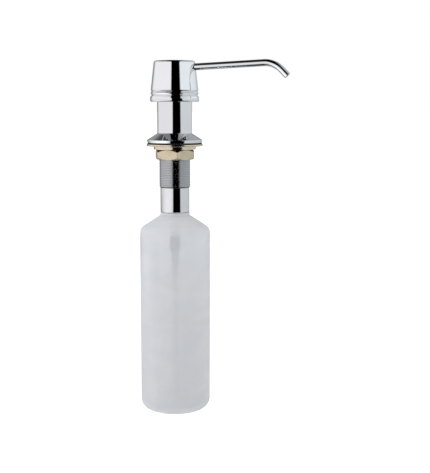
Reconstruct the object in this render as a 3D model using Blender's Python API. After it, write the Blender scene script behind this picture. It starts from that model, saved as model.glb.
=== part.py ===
"""Deck-mounted soap dispenser, modelled as the pieces it is assembled from.

Units: the numbers below are millimetres, and every mesh is made in metres.
Frame: the origin is on the pump's axis, in the plane of the worktop's upper
face (the underside of the flange gasket). +Z points up, and +X is the side
that the spout points to.
"""

import math

import bmesh
import bpy
from mathutils import Matrix, Vector

MM = 0.001
GAP = 0.3  # running and resting gap between two neighbouring pieces

# ---- Driving dimensions (mm) ------------------------------------------------

# Pressed head
HEAD_TOP_Z = 73.6
HEAD_TOP_R = 18.25
HEAD_LOW_Z = 47.55
HEAD_LOW_R = 21.2
HEAD_EDGE_R = 1.6
HEAD_WALL = 2.1
SKIRT_Z = 37.4
SKIRT_R = 22.0
PUMP_STROKE = 15.0

# Spout
SPOUT_OD = 6.0
SPOUT_ID = 4.6
SPOUT_Z = 67.0  # height of the spout's centre line on the pump's axis
SPOUT_RISE = math.radians(3.0)
SPOUT_START = 6.0  # horizontal distance from the axis to the tube's inner end
SPOUT_CORNER = 89.5  # distance from the axis to the bend's virtual corner
SPOUT_BEND_R = 20.4
SPOUT_DROP = math.radians(45.4)  # how far below horizontal the nose points
SPOUT_NOSE = 16.6  # virtual corner to the cut end

# Sleeve with its flange
SLEEVE_R = 15.6
SLEEVE_TOP = 40.0
SLEEVE_BORE = 12.6
FLANGE_R = 25.0
FLANGE_UNDER = 0.8
GASKET_T = 0.7

# Threaded shank and its clamping hardware
THREAD_R = 14.0  # M28 x 1.5
THREAD_PITCH = 1.5
THREAD_DEPTH = 0.9
THREAD_END = -38.4
SHANK_TUBE_R = 13.2
SHANK_BORE = 11.3
SHANK_END = -61.0
SOCKET_R = 12.2  # lower socket that takes the bottle's neck
SOCKET_TOP = -46.0
SPIGOT_R = 13.0
SPIGOT_TOP = 13.7
HARDWARE_BORE = 14.3
CLAMP_R = 25.3
CLAMP_T = 1.7
THRUST_R = 19.0
THRUST_T = 2.8
NUT_AF = 33.0
NUT_TOP = -5.0
NUT_H = 8.8
NUT_CORNER = math.radians(-9.2)  # one corner's direction about +Z

# Bottle
BOTTLE_R = 31.8
BOTTLE_WALL = 1.2
BOTTLE_BASE = -242.8
BOTTLE_HEEL = 9.5
NECK_R = 11.9
NECK_BORE = 9.6
NECK_TOP = -48.0
LIP_R = 13.45
LIP_TOP = -61.3
LIP_LOW = -63.6
SHOULDER_SLOPE = math.radians(33.4)
SHOULDER_ROUND = 7.2

# Pump insert
COLLAR_R = 15.0
PLUG_R = 12.1
BARREL_R = 8.0
BARREL_BORE = 6.8
BARREL_FLOOR = -12.0
TAIL_R = 4.8  # the barrel's long tail, which carries the dip tube
TAIL_END = -97.0
STEM_R = 3.5
STEM_BORE = 2.0
BALL_IN_R = 3.0
BALL_OUT_R = 2.5
DIP_R = 3.0
DIP_BORE = 2.2
DIP_FOOT = -236.0
SPRING_COIL_R = 5.35
SPRING_WIRE_R = 0.45
SPRING_TURNS = 7
SPRING_LOW = -9.5
SPRING_HIGH = 21.9

# ---- Clear the scene --------------------------------------------------------

for old in list(bpy.data.objects):
    bpy.data.objects.remove(old, do_unlink=True)


# ---- Materials --------------------------------------------------------------


def material(name, colour, roughness, metallic, alpha=1.0):
    mat = bpy.data.materials.new(name)
    mat.use_nodes = True
    shader = mat.node_tree.nodes["Principled BSDF"]
    shader.inputs["Base Color"].default_value = (*colour, 1.0)
    shader.inputs["Roughness"].default_value = roughness
    shader.inputs["Metallic"].default_value = metallic
    shader.inputs["Alpha"].default_value = alpha
    mat.diffuse_color = (*colour, alpha)
    return mat


CHROME = ("chrome", (0.82, 0.83, 0.85), 0.06, 1.0)
BRASS = ("brass", (0.78, 0.68, 0.47), 0.32, 1.0)
STEEL = ("stainless", (0.62, 0.62, 0.61), 0.25, 1.0)
RUBBER = ("rubber", (0.02, 0.02, 0.02), 0.7, 0.0)
BOTTLE = ("bottle_polyethylene", (0.88, 0.89, 0.91), 0.42, 0.0, 0.85)
WHITE = ("white_polypropylene", (0.86, 0.87, 0.87), 0.4, 0.0)
CLEAR = ("tube_polyethylene", (0.90, 0.91, 0.92), 0.35, 0.0, 0.7)


# ---- Modelling helpers ------------------------------------------------------


def finish(name, bm, finish_values, parent=None, origin=(0.0, 0.0, 0.0)):
    """Turns bm, in world metres, into an object whose origin is at origin (mm)."""
    bmesh.ops.recalc_face_normals(bm, faces=bm.faces)
    mesh = bpy.data.meshes.new(name)
    at = Vector(origin) * MM
    bmesh.ops.translate(bm, verts=bm.verts, vec=-at)
    bm.to_mesh(mesh)
    bm.free()
    obj = bpy.data.objects.new(name, mesh)
    bpy.context.scene.collection.objects.link(obj)
    mesh.materials.append(material(name + "_" + finish_values[0], *finish_values[1:]))
    mesh.shade_smooth()
    mesh.set_sharp_from_angle(angle=math.radians(35))
    if parent is None:
        obj.location = at
    else:
        obj.parent = parent
        obj.location = at - joint_at[parent.name]
    return obj


def turned(profile, steps=40):
    """A solid of revolution about Z. profile is (radius, z) in mm: a closed ring
    where it stays off the axis, or a line from the axis back to the axis."""
    bm = bmesh.new()
    verts = [bm.verts.new((r * MM, 0.0, z * MM)) for r, z in profile]
    pairs = list(zip(verts[:-1], verts[1:]))
    if profile[0][0] > 0 or profile[-1][0] > 0:
        pairs.append((verts[-1], verts[0]))
    edges = [bm.edges.new(pair) for pair in pairs]
    bmesh.ops.spin(
        bm,
        geom=verts + edges,
        cent=(0, 0, 0),
        axis=(0, 0, 1),
        angle=math.tau,
        steps=steps,
        use_merge=True,
    )
    bmesh.ops.remove_doubles(bm, verts=bm.verts, dist=1e-7)
    bmesh.ops.dissolve_degenerate(bm, edges=bm.edges, dist=1e-7)
    return bm


def arc(cr, cz, radius, start, stop, steps):
    """Points of an arc in the profile plane, from start to stop degrees."""
    return [
        (
            cr + radius * math.cos(math.radians(start + (stop - start) * i / steps)),
            cz + radius * math.sin(math.radians(start + (stop - start) * i / steps)),
        )
        for i in range(steps + 1)
    ]


def rod(start, direction, length, radius, steps=20):
    """A bare cylinder in metres, used as a cutter. start is in mm."""
    bm = bmesh.new()
    made = bmesh.ops.create_cone(
        bm,
        cap_ends=True,
        segments=steps,
        radius1=radius * MM,
        radius2=radius * MM,
        depth=length * MM,
    )
    turn = Vector(direction).normalized().to_track_quat("Z", "X").to_matrix().to_4x4()
    shift = Matrix.Translation((Vector(start) + Vector(direction).normalized() * length / 2) * MM)
    bmesh.ops.transform(bm, matrix=shift @ turn, verts=made["verts"])
    return bm


def box(low, high):
    bm = bmesh.new()
    made = bmesh.ops.create_cube(bm, size=1.0)
    size = Vector([(b - a) * MM for a, b in zip(low, high)])
    middle = Vector([(a + b) / 2 * MM for a, b in zip(low, high)])
    bmesh.ops.scale(bm, vec=size, verts=made["verts"])
    bmesh.ops.translate(bm, vec=middle, verts=made["verts"])
    return bm


def cutter(name, bm):
    bmesh.ops.recalc_face_normals(bm, faces=bm.faces)
    mesh = bpy.data.meshes.new(name)
    bm.to_mesh(mesh)
    bm.free()
    obj = bpy.data.objects.new(name, mesh)
    bpy.context.scene.collection.objects.link(obj)
    obj.hide_render = True
    obj.display_type = "WIRE"
    return obj


def cut(obj, tool):
    """Takes the cutter away from obj with an exact Boolean modifier."""
    modifier = obj.modifiers.new(tool.name, "BOOLEAN")
    modifier.operation = "DIFFERENCE"
    modifier.object = tool
    modifier.solver = "EXACT"
    return modifier


# ---- Joint empties: each moving piece hangs under the one on its axis ---------

joint_at = {}


def joint(name, at, parent=None):
    """An empty at a joint's axis, at (mm)."""
    empty = bpy.data.objects.new(name, None)
    empty.empty_display_size = 0.01
    bpy.context.scene.collection.objects.link(empty)
    joint_at[name] = Vector(at) * MM
    empty.location = joint_at[name]
    if parent is not None:
        empty.parent = parent
        empty.location = joint_at[name] - joint_at[parent.name]
    return empty


assembly = joint("dispenser", (0, 0, 0))
nut_travel = joint("nut_travel", (0, 0, 0), assembly)
nut_turn = joint("nut_turn", (0, 0, NUT_TOP), nut_travel)
bottle_drop = joint("bottle_drop", (0, 0, NECK_TOP), assembly)
bottle_turn = joint("bottle_turn", (0, 0, NECK_TOP), bottle_drop)
pump_lift = joint("pump_lift", (0, 0, SLEEVE_TOP), assembly)
pump_stroke = joint("pump_stroke", (0, 0, SLEEVE_TOP + 2.6), pump_lift)
spout_swivel = joint("spout_swivel", (0, 0, SPOUT_Z), pump_stroke)


# ---- Fixed to the worktop: sleeve, shank and gasket ---------------------------


def sleeve_flange():
    rim = 2.2
    profile = [
        (SLEEVE_BORE, SLEEVE_TOP - 0.6),
        (SLEEVE_BORE + 0.6, SLEEVE_TOP),
        (SLEEVE_R - 0.6, SLEEVE_TOP),
        (SLEEVE_R, SLEEVE_TOP - 0.6),
        (SLEEVE_R, 10.9),
        (SLEEVE_R + 0.25, 10.0),
        (SLEEVE_R + 1.0, 9.2),
        (22.9, 5.35),
    ]
    profile += arc(FLANGE_R - rim, 2.75, rim, 58, -54, 5)
    profile += [
        (FLANGE_R - 1.1, FLANGE_UNDER),
        (SPIGOT_R + GAP, FLANGE_UNDER),
        (SPIGOT_R + GAP, SPIGOT_TOP + GAP),
        (SLEEVE_BORE, SPIGOT_TOP + GAP),
    ]
    return finish("sleeve_flange", turned(profile, 36), CHROME, assembly)


def threaded_shank():
    """The shank's upper run carries a right-hand helical thread. Each column of
    points runs down the outside at one angle: the crests and roots climb by one
    pitch in a full turn, so the last column joins the first one two points on."""
    columns = 16
    top, low = FLANGE_UNDER - GAP, THREAD_END
    root = THREAD_R - THREAD_DEPTH
    count = 2 * math.ceil((top - low) / THREAD_PITCH) + 6
    above = [
        (SOCKET_R, SHANK_END + 0.5),
        (SOCKET_R, SOCKET_TOP),
        (SHANK_BORE, SOCKET_TOP),
        (SHANK_BORE, SPIGOT_TOP - 0.5),
        (SHANK_BORE + 0.5, SPIGOT_TOP),
        (SPIGOT_R, SPIGOT_TOP),
        (SPIGOT_R, top + 0.2),
    ]
    below = [
        (SHANK_TUBE_R, low - 0.5),
        (SHANK_TUBE_R, SHANK_END + 0.5),
        (SHANK_TUBE_R - 0.4, SHANK_END),
        (SOCKET_R + 0.4, SHANK_END),
    ]
    bm = bmesh.new()
    plain, helix, first, last = [], [], [], []
    for j in range(columns):
        turn = j / columns
        angle = math.tau * turn

        def point(r, z):
            return bm.verts.new((r * math.cos(angle) * MM, r * math.sin(angle) * MM, z * MM))

        plain.append([point(r, z) for r, z in above] + [point(r, z) for r, z in below])
        first.append(point(root, top))
        last.append(point(root, low))
        row = []
        for k in range(count):
            z = top + THREAD_PITCH * (1.2 + turn - k / 2)
            if z > top - 0.08:
                row.append(first[-1])
            elif z < low + 0.08:
                row.append(last[-1])
            else:
                row.append(point(THREAD_R if k % 2 == 0 else root, z))
        helix.append(row)

    def face(corners):
        ring = []
        for v in corners:
            if v not in ring:
                ring.append(v)
        if len(ring) > 2:
            bm.faces.new(ring)

    split = len(above)
    for j in range(columns):
        n = (j + 1) % columns
        shift = 2 if n == 0 else 0

        def next_helix(k):
            k -= shift
            return first[n] if k < 0 else helix[n][k]

        for k in range(count - 1):
            face([helix[j][k], helix[j][k + 1], next_helix(k + 1), next_helix(k)])
        face([helix[j][count - 1], last[j], last[n], next_helix(count - 1)])
        if shift:
            face([helix[j][0], next_helix(0), first[n], first[j]])
        here, there = plain[j], plain[n]
        for i in range(len(here)):
            if i == split - 1:
                face([here[i], first[j], first[n], there[i]])
                face([last[j], here[i + 1], there[i + 1], last[n]])
            else:
                m = (i + 1) % len(here)
                face([here[i], here[m], there[m], there[i]])
    return finish("threaded_shank", bm, CHROME, assembly)


def flange_gasket():
    profile = [
        (HARDWARE_BORE, 0.0),
        (HARDWARE_BORE, GASKET_T),
        (FLANGE_R - 0.1, GASKET_T),
        (FLANGE_R - 0.1, 0.0),
    ]
    return finish("flange_gasket", turned(profile, 28), RUBBER, assembly)


# ---- Clamping hardware under the worktop --------------------------------------


def clamp_washer():
    top, low = -GAP, -GAP - CLAMP_T
    profile = [
        (HARDWARE_BORE, low),
        (HARDWARE_BORE, top),
        (CLAMP_R - 0.2, top),
        (CLAMP_R, top - 0.2),
        (CLAMP_R, low + 0.5),
        (CLAMP_R - 0.7, low),
    ]
    return finish("clamp_washer", turned(profile, 28), BRASS, nut_travel)


def thrust_washer():
    top = -GAP - CLAMP_T - 0.1
    low = top - THRUST_T
    profile = [
        (HARDWARE_BORE, low),
        (HARDWARE_BORE, top),
        (THRUST_R - 0.6, top),
        (THRUST_R, top - 0.6),
        (THRUST_R, low + 0.4),
        (THRUST_R - 0.9, low),
    ]
    return finish("thrust_washer", turned(profile, 24), BRASS, nut_travel)


def hex_nut():
    """A hexagonal prism whose corners are turned off by a chamfer at each end."""
    corner = NUT_AF / 2 / math.cos(math.pi / 6)
    low = NUT_TOP - NUT_H
    bm = bmesh.new()
    ends = []
    for z in (low, NUT_TOP):
        ends.append(
            [
                bm.verts.new(
                    (
                        corner * math.cos(NUT_CORNER + i * math.pi / 3) * MM,
                        corner * math.sin(NUT_CORNER + i * math.pi / 3) * MM,
                        z * MM,
                    )
                )
                for i in range(6)
            ]
        )
    bm.faces.new(list(reversed(ends[0])))
    bm.faces.new(ends[1])
    for i in range(6):
        n = (i + 1) % 6
        bm.faces.new([ends[0][i], ends[0][n], ends[1][n], ends[1][i]])
    nut = finish("hex_nut", bm, BRASS, nut_turn, (0, 0, NUT_TOP))
    for obj in (
        cutter("nut_bore", rod((0, 0, low - 2), (0, 0, 1), NUT_H + 4, HARDWARE_BORE, 24)),
        cutter("nut_turning", nut_chamfer(low, corner)),
    ):
        cut(nut, obj)
    return nut


def nut_chamfer(low, corner):
    """The ring that a lathe takes off both ends of the hexagon."""
    face_r = NUT_AF / 2 - 0.1
    reach = corner + 3
    fall = math.tan(math.radians(28))
    top = NUT_TOP
    edge = corner - 0.25
    profile = [
        (face_r, top + 1),
        (face_r, top),
        (edge, top - (edge - face_r) * fall),
        (edge, low + (edge - face_r) * fall),
        (face_r, low),
        (face_r, low - 1),
        (reach, low - 1),
        (reach, top + 1),
    ]
    return turned(profile, 30)


# ---- Bottle -------------------------------------------------------------------


def bottle_profile(radius, neck, slope_top, heel, base, push_up, steps):
    """Half of the bottle's outer or inner surface: (radius, z) from the foot of
    the neck down to the middle of the base."""
    tangent = SHOULDER_ROUND * math.tan((math.pi / 2 - SHOULDER_SLOPE) / 2)
    corner = slope_top - (radius - neck) * math.tan(SHOULDER_SLOPE)
    points = [(neck, slope_top)]
    points += arc(
        radius - SHOULDER_ROUND,
        corner - tangent,
        SHOULDER_ROUND,
        90 - math.degrees(SHOULDER_SLOPE),
        0,
        steps,
    )
    points += arc(radius - 0.2 - heel, base + heel, heel, 0, -90, steps + 1)
    points += [(radius - heel - 5.0, base + push_up * 0.55), (0.0, base + push_up)]
    return points


def bottle():
    outer = bottle_profile(BOTTLE_R, 13.5, LIP_LOW, BOTTLE_HEEL, BOTTLE_BASE, 3.0, 4)
    inner_top = LIP_LOW - BOTTLE_WALL / math.cos(SHOULDER_SLOPE)
    inner_top += (13.5 - NECK_BORE) * math.tan(SHOULDER_SLOPE)
    inner = bottle_profile(
        BOTTLE_R - BOTTLE_WALL,
        NECK_BORE,
        inner_top,
        BOTTLE_HEEL - BOTTLE_WALL,
        BOTTLE_BASE + BOTTLE_WALL,
        3.0,
        3,
    )
    profile = list(reversed(inner))
    profile += [
        (NECK_BORE, NECK_TOP),
        (NECK_R - 0.4, NECK_TOP),
        (NECK_R, NECK_TOP - 0.4),
        (NECK_R, LIP_TOP),
        (LIP_R, LIP_TOP),
        (LIP_R, LIP_LOW + 0.3),
    ]
    profile += outer
    return finish("bottle", turned(profile, 32), BOTTLE, bottle_turn, (0, 0, NECK_TOP))


def neck_seal():
    profile = [
        (NECK_BORE + 0.2, NECK_TOP + GAP),
        (NECK_BORE + 0.2, SOCKET_TOP - GAP),
        (NECK_R, SOCKET_TOP - GAP),
        (NECK_R, NECK_TOP + GAP),
    ]
    return finish("neck_seal", turned(profile, 24), RUBBER, bottle_drop, (0, 0, NECK_TOP))


# ---- Pump insert that lifts out of the sleeve -----------------------------------


def pump_collar():
    top = SLEEVE_TOP + GAP + 2.3
    profile = [
        (BARREL_R + GAP, 30.0),
        (BARREL_R + GAP, top - 1.7),
        (10.4, top - 1.7),
        (10.4, top),
        (COLLAR_R - 0.5, top),
        (COLLAR_R, top - 0.5),
        (COLLAR_R, SLEEVE_TOP + GAP),
        (PLUG_R, SLEEVE_TOP + GAP),
        (PLUG_R, 35.9),
        (10.6, 35.9),
        (10.6, 33.9),
        (PLUG_R, 33.9),
        (PLUG_R, 30.6),
        (PLUG_R - 0.6, 30.0),
    ]
    return finish("pump_collar", turned(profile, 24), WHITE, pump_lift, (0, 0, SLEEVE_TOP))


def collar_o_ring():
    profile = arc(11.62, 34.9, 0.7, 0, 300, 5)
    return finish("collar_o_ring", turned(profile, 24), RUBBER, pump_lift, (0, 0, SLEEVE_TOP))


def pump_barrel():
    profile = [
        (BARREL_BORE, BARREL_FLOOR),
        (BARREL_BORE, 42.5),
        (10.1, 42.5),
        (10.1, 41.2),
        (BARREL_R, 41.2),
        (BARREL_R, BARREL_FLOOR - 1.6),
        (TAIL_R, BARREL_FLOOR - 5.0),
        (TAIL_R, TAIL_END),
        (DIP_R + GAP, TAIL_END),
        (DIP_R + GAP, -15.7),
        (2.2, -15.7),
        (2.2, BARREL_FLOOR),
    ]
    return finish("pump_barrel", turned(profile, 20), WHITE, pump_lift, (0, 0, SLEEVE_TOP))


def stem_guide():
    """The bush that closes the barrel's mouth and guides the stem."""
    profile = [
        (STEM_R + GAP, 34.0),
        (STEM_R + GAP, 42.4),
        (BARREL_BORE - GAP, 42.4),
        (BARREL_BORE - GAP, 34.0),
    ]
    return finish("stem_guide", turned(profile, 20), WHITE, pump_lift, (0, 0, SLEEVE_TOP))


def valve_cage():
    """Seats the spring and keeps the inlet ball over its hole."""
    low = BARREL_FLOOR + GAP
    profile = [
        (BALL_IN_R + 0.4, low),
        (BALL_IN_R + 0.4, -4.3),
        (1.8, -4.3),
        (1.8, -3.3),
        (4.3, -3.3),
        (4.3, low + 1.8),
        (BARREL_BORE - GAP, low + 1.8),
        (BARREL_BORE - GAP, low),
    ]
    cage = finish("valve_cage", turned(profile, 20), WHITE, pump_lift, (0, 0, SLEEVE_TOP))
    for name, size in (("cage_window_x", (9.0, 1.2)), ("cage_window_y", (1.2, 9.0))):
        cut(
            cage,
            cutter(name, box((-size[0], -size[1], -8.6), (size[0], size[1], -4.8))),
        )
    return cage


def return_spring():
    """A round-wire coil: rings of points carried along the helix."""
    sides, per_turn = 5, 10
    steps = SPRING_TURNS * per_turn
    low, high = SPRING_LOW + SPRING_WIRE_R, SPRING_HIGH - SPRING_WIRE_R
    bm = bmesh.new()
    rings = []
    for i in range(steps + 1):
        t = i / steps
        angle = math.tau * SPRING_TURNS * t
        # The end coils lie almost flat, as on a ground compression spring.
        ease = t - math.sin(math.tau * t) / math.tau * 0.6
        centre = Vector(
            (
                SPRING_COIL_R * math.cos(angle),
                SPRING_COIL_R * math.sin(angle),
                low + (high - low) * ease,
            )
        )
        out = Vector((math.cos(angle), math.sin(angle), 0))
        rings.append(
            [
                bm.verts.new(
                    (
                        centre
                        + out * SPRING_WIRE_R * math.cos(math.tau * s / sides)
                        + Vector((0, 0, SPRING_WIRE_R * math.sin(math.tau * s / sides)))
                    )
                    * MM
                )
                for s in range(sides)
            ]
        )
    for a, b in zip(rings[:-1], rings[1:]):
        for s in range(sides):
            n = (s + 1) % sides
            bm.faces.new([a[s], a[n], b[n], b[s]])
    bm.faces.new(rings[0])
    bm.faces.new(list(reversed(rings[-1])))
    return finish("return_spring", bm, STEEL, pump_lift, (0, 0, SLEEVE_TOP))


def dip_tube():
    """A plain tube whose foot is cut on a slant, so that it can't seal on the base."""
    top = -16.0
    profile = [
        (DIP_BORE, DIP_FOOT),
        (DIP_BORE, top),
        (DIP_R, top),
        (DIP_R, DIP_FOOT),
    ]
    bm = turned(profile, 12)
    for v in bm.verts:
        if v.co.z < (DIP_FOOT + 1) * MM:
            v.co.z += (v.co.x + DIP_R * MM) * 0.7
    return finish("dip_tube", bm, CLEAR, pump_lift, (0, 0, SLEEVE_TOP))


def ball(name, radius, centre_z, parent):
    bm = bmesh.new()
    bmesh.ops.create_icosphere(
        bm, subdivisions=2, radius=radius * MM, matrix=Matrix.Translation((0, 0, centre_z * MM))
    )
    return finish(name, bm, STEEL, parent, (0, 0, centre_z))


def piston_stem():
    """A hollow rod: its foot carries the piston and rests on the spring, and its
    mouth is the seat and the well of the outlet ball."""
    profile = [
        (STEM_BORE, 22.2),
        (STEM_BORE, 60.5),
        (BALL_OUT_R + 0.35, 60.5),
        (BALL_OUT_R + 0.35, 66.0),
        (STEM_R, 66.0),
        (STEM_R, 33.5),
        (4.7, 33.5),
        (4.7, 31.8),
        (STEM_R, 31.8),
        (STEM_R, 23.7),
        (5.8, 23.7),
        (5.8, 22.2),
    ]
    return finish("piston_stem", turned(profile, 16), WHITE, pump_stroke, (0, 0, SLEEVE_TOP + 2.6))


def piston_seal():
    """A double-lipped cup: both rims stand out to the barrel's wall."""
    profile = [
        (STEM_R + GAP, 24.0),
        (STEM_R + GAP, 31.5),
        (5.4, 31.5),
        (6.1, 31.5),
        (BARREL_BORE - GAP, 31.1),
        (5.8, 28.8),
        (5.8, 26.7),
        (BARREL_BORE - GAP, 24.4),
        (6.1, 24.0),
    ]
    return finish("piston_seal", turned(profile, 20), RUBBER, pump_stroke, (0, 0, SLEEVE_TOP + 2.6))


# ---- Swivelling head ------------------------------------------------------------

SPOUT_DIR = Vector((math.cos(SPOUT_RISE), 0, math.sin(SPOUT_RISE)))


def spout_point(distance):
    """A point on the spout's straight run, at this horizontal distance (mm)."""
    return Vector((distance, 0, SPOUT_Z + distance * math.tan(SPOUT_RISE)))


def head_shell():
    inner_low, inner_top = 18.5, HEAD_TOP_R - 1.8
    ceiling = HEAD_TOP_Z - HEAD_WALL
    profile = [(0, HEAD_TOP_Z)]
    profile += arc(HEAD_TOP_R - HEAD_EDGE_R + 0.12, HEAD_TOP_Z - HEAD_EDGE_R, HEAD_EDGE_R, 90, 6.7, 3)
    profile += [
        (HEAD_LOW_R, HEAD_LOW_Z),
        (20.6, 46.8),
        (20.6, 46.2),
        (21.1, 45.6),
        (21.35, 44.7),
        (21.1, 43.85),
        (20.55, 43.25),
        (20.55, 42.65),
        (21.55, 41.95),
        (21.82, 40.4),
        (SKIRT_R - 0.1, 38.6),
        (SKIRT_R - 0.5, SKIRT_Z),
        (19.6, SKIRT_Z),
        (19.2, 42.0),
        (inner_low, 44.5),
        (inner_low, 48.0),
        (inner_top, ceiling),
        (0, ceiling),
    ]
    shell = finish("head_shell", turned(profile, 36), CHROME, spout_swivel, (0, 0, SPOUT_Z))
    cut(shell, cutter("shell_spout_hole", rod(spout_point(10), SPOUT_DIR, 20, SPOUT_OD / 2 + 0.25, 16)))
    return shell


def head_core():
    """The moulded core inside the shell: socket for the stem, bore for the spout."""
    top, low = HEAD_TOP_Z - HEAD_WALL - GAP, 62.8
    profile = [
        (0, top),
        (15.9, top),
        (16.7, low),
        (6.5, low),
        (6.5, 58.2),
        (STEM_R + GAP, 58.2),
        (STEM_R + GAP, 66.3),
        (2.6, 66.3),
        (2.6, 68.6),
        (0, 68.6),
    ]
    core = finish("head_core", turned(profile, 24), WHITE, spout_swivel, (0, 0, SPOUT_Z))
    cut(core, cutter("core_spout_bore", rod(spout_point(4.3), SPOUT_DIR, 20, SPOUT_OD / 2 + GAP, 16)))
    cut(core, cutter("core_channel", rod(spout_point(0.7), SPOUT_DIR, 5.5, 1.6, 10)))
    return core


def spout_path():
    """(point, direction) pairs along the centre line, in mm."""
    bend = SPOUT_RISE + SPOUT_DROP
    tangent = SPOUT_BEND_R * math.tan(bend / 2)
    corner = spout_point(SPOUT_CORNER)
    start = corner - SPOUT_DIR * tangent
    up = Vector((-math.sin(SPOUT_RISE), 0, math.cos(SPOUT_RISE)))
    centre = start - up * SPOUT_BEND_R
    path = [(spout_point(SPOUT_START), SPOUT_DIR)]
    steps = 8
    for i in range(steps + 1):
        turn = bend * i / steps
        spoke = Matrix.Rotation(turn, 3, "Y") @ up
        path.append((centre + spoke * SPOUT_BEND_R, Matrix.Rotation(turn, 3, "Y") @ SPOUT_DIR))
    nose = Matrix.Rotation(bend, 3, "Y") @ SPOUT_DIR
    path.append((corner + nose * SPOUT_NOSE, nose))
    return path


def spout_tube():
    sides = 16
    bm = bmesh.new()
    rings = {"outer": [], "inner": []}
    for centre, direction in spout_path():
        side = Vector((0, 1, 0))
        up = direction.cross(side).normalized()
        for which, radius in (("outer", SPOUT_OD / 2), ("inner", SPOUT_ID / 2)):
            rings[which].append(
                [
                    bm.verts.new(
                        (
                            centre
                            + side * radius * math.cos(math.tau * s / sides)
                            + up * radius * math.sin(math.tau * s / sides)
                        )
                        * MM
                    )
                    for s in range(sides)
                ]
            )
    for s in range(sides):
        n = (s + 1) % sides
        for which in ("outer", "inner"):
            for a, b in zip(rings[which][:-1], rings[which][1:]):
                bm.faces.new([a[s], a[n], b[n], b[s]])
        for end in (0, -1):
            a, b = rings["outer"][end], rings["inner"][end]
            bm.faces.new([a[s], a[n], b[n], b[s]])
    return finish("spout_tube", bm, CHROME, spout_swivel, (0, 0, SPOUT_Z))


def spout_seal():
    """A flat ring between the tube's inner end and the shoulder of its bore."""
    bm = turned(
        [
            (SPOUT_ID / 2, -0.45),
            (SPOUT_ID / 2, 0.45),
            (SPOUT_OD / 2, 0.45),
            (SPOUT_OD / 2, -0.45),
        ],
        14,
    )
    turn = SPOUT_DIR.to_track_quat("Z", "Y").to_matrix().to_4x4()
    place = Matrix.Translation(spout_point(5.15) * MM)
    bmesh.ops.transform(bm, matrix=place @ turn, verts=bm.verts)
    return finish("spout_seal", bm, RUBBER, spout_swivel, (0, 0, SPOUT_Z))


# ---- Build ------------------------------------------------------------------------

sleeve_flange()
threaded_shank()
flange_gasket()

clamp_washer()
thrust_washer()
hex_nut()

bottle()
neck_seal()

pump_collar()
collar_o_ring()
pump_barrel()
stem_guide()
valve_cage()
return_spring()
dip_tube()

inlet_seat_z = BARREL_FLOOR + math.sqrt(BALL_IN_R**2 - 2.2**2) + GAP
inlet_lift = joint("inlet_lift", (0, 0, inlet_seat_z), pump_lift)
ball("inlet_ball", BALL_IN_R, inlet_seat_z, inlet_lift)

piston_stem()
piston_seal()

outlet_seat_z = 60.5 + math.sqrt(BALL_OUT_R**2 - STEM_BORE**2) + GAP
outlet_lift = joint("outlet_lift", (0, 0, outlet_seat_z), pump_stroke)
ball("outlet_ball", BALL_OUT_R, outlet_seat_z, outlet_lift)

head_shell()
head_core()
spout_tube()
spout_seal()
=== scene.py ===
"""Looks of the deck-mounted soap dispenser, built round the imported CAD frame."""

import math

import bmesh
import bpy
from mathutils import Matrix, Vector


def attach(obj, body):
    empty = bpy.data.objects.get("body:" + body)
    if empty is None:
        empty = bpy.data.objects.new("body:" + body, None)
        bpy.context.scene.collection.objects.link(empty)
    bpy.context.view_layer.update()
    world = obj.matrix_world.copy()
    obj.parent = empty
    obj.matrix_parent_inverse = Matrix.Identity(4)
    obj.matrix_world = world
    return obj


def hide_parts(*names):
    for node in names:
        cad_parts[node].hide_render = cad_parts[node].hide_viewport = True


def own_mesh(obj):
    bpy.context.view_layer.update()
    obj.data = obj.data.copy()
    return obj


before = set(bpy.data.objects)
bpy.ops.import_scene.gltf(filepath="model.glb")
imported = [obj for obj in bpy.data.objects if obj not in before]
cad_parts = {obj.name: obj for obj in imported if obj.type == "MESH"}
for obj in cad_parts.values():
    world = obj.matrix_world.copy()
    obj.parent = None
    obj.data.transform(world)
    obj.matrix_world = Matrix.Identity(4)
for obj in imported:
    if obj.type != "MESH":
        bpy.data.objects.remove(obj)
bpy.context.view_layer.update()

MM = 0.001
TAU = math.tau


# =============================================================================
# Node helpers
# =============================================================================


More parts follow.
